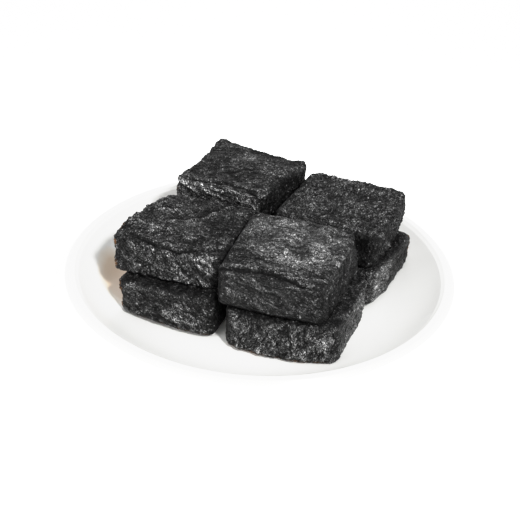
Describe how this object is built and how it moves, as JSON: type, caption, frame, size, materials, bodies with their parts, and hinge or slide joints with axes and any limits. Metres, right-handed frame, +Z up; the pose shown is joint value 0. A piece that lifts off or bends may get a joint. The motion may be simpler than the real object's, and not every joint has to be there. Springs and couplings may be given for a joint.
{
  "type": "plate of black tofu blocks",
  "caption": "Round shallow white plate carrying a two-layer stack of loose, pillow-edged square black blocks with a wrinkled, oily skin.",
  "frame": {"origin": "middle of the plate's foot ring, on the surface that the plate stands on", "axes": "+X along the front row of blocks, from the left block to the right one; +Y from the front row to the back row; +Z up"},
  "size_m": [0.165, 0.165, 0.0468],
  "materials": {
    "porcelain": "gloss",
    "tofu_skin": "satin"
  },
  "bodies": {
    "plate": {"plate": "porcelain"},
    "lower_front_left": {"lower_front_left": "tofu_skin"},
    "lower_front_right": {"lower_front_right": "tofu_skin"},
    "lower_back_left": {"lower_back_left": "tofu_skin"},
    "lower_back_right": {"lower_back_right": "tofu_skin"},
    "upper_front_left": {"upper_front_left": "tofu_skin"},
    "upper_front_right": {"upper_front_right": "tofu_skin"},
    "upper_back_left": {"upper_back_left": "tofu_skin"},
    "upper_back_right": {"upper_back_right": "tofu_skin"}
  },
  "joints": [
    {"name": "lower_front_left_lift", "type": "slide", "parent": "plate", "child": "lower_front_left", "axis": [0, 0, 1], "range_m": [0, 0.06]},
    {"name": "lower_front_right_lift", "type": "slide", "parent": "plate", "child": "lower_front_right", "axis": [0, 0, 1], "range_m": [0, 0.06]},
    {"name": "lower_back_left_lift", "type": "slide", "parent": "plate", "child": "lower_back_left", "axis": [0, 0, 1], "range_m": [0, 0.06]},
    {"name": "lower_back_right_lift", "type": "slide", "parent": "plate", "child": "lower_back_right", "axis": [0, 0, 1], "range_m": [0, 0.06]},
    {"name": "upper_front_left_lift", "type": "slide", "parent": "lower_front_left", "child": "upper_front_left", "axis": [0, 0, 1], "range_m": [0, 0.04]},
    {"name": "upper_front_right_lift", "type": "slide", "parent": "lower_front_right", "child": "upper_front_right", "axis": [0, 0, 1], "range_m": [0, 0.04]},
    {"name": "upper_back_left_lift", "type": "slide", "parent": "lower_back_left", "child": "upper_back_left", "axis": [0, 0, 1], "range_m": [0, 0.04]},
    {"name": "upper_back_right_lift", "type": "slide", "parent": "lower_back_right", "child": "upper_back_right", "axis": [0, 0, 1], "range_m": [0, 0.04]}
  ]
}
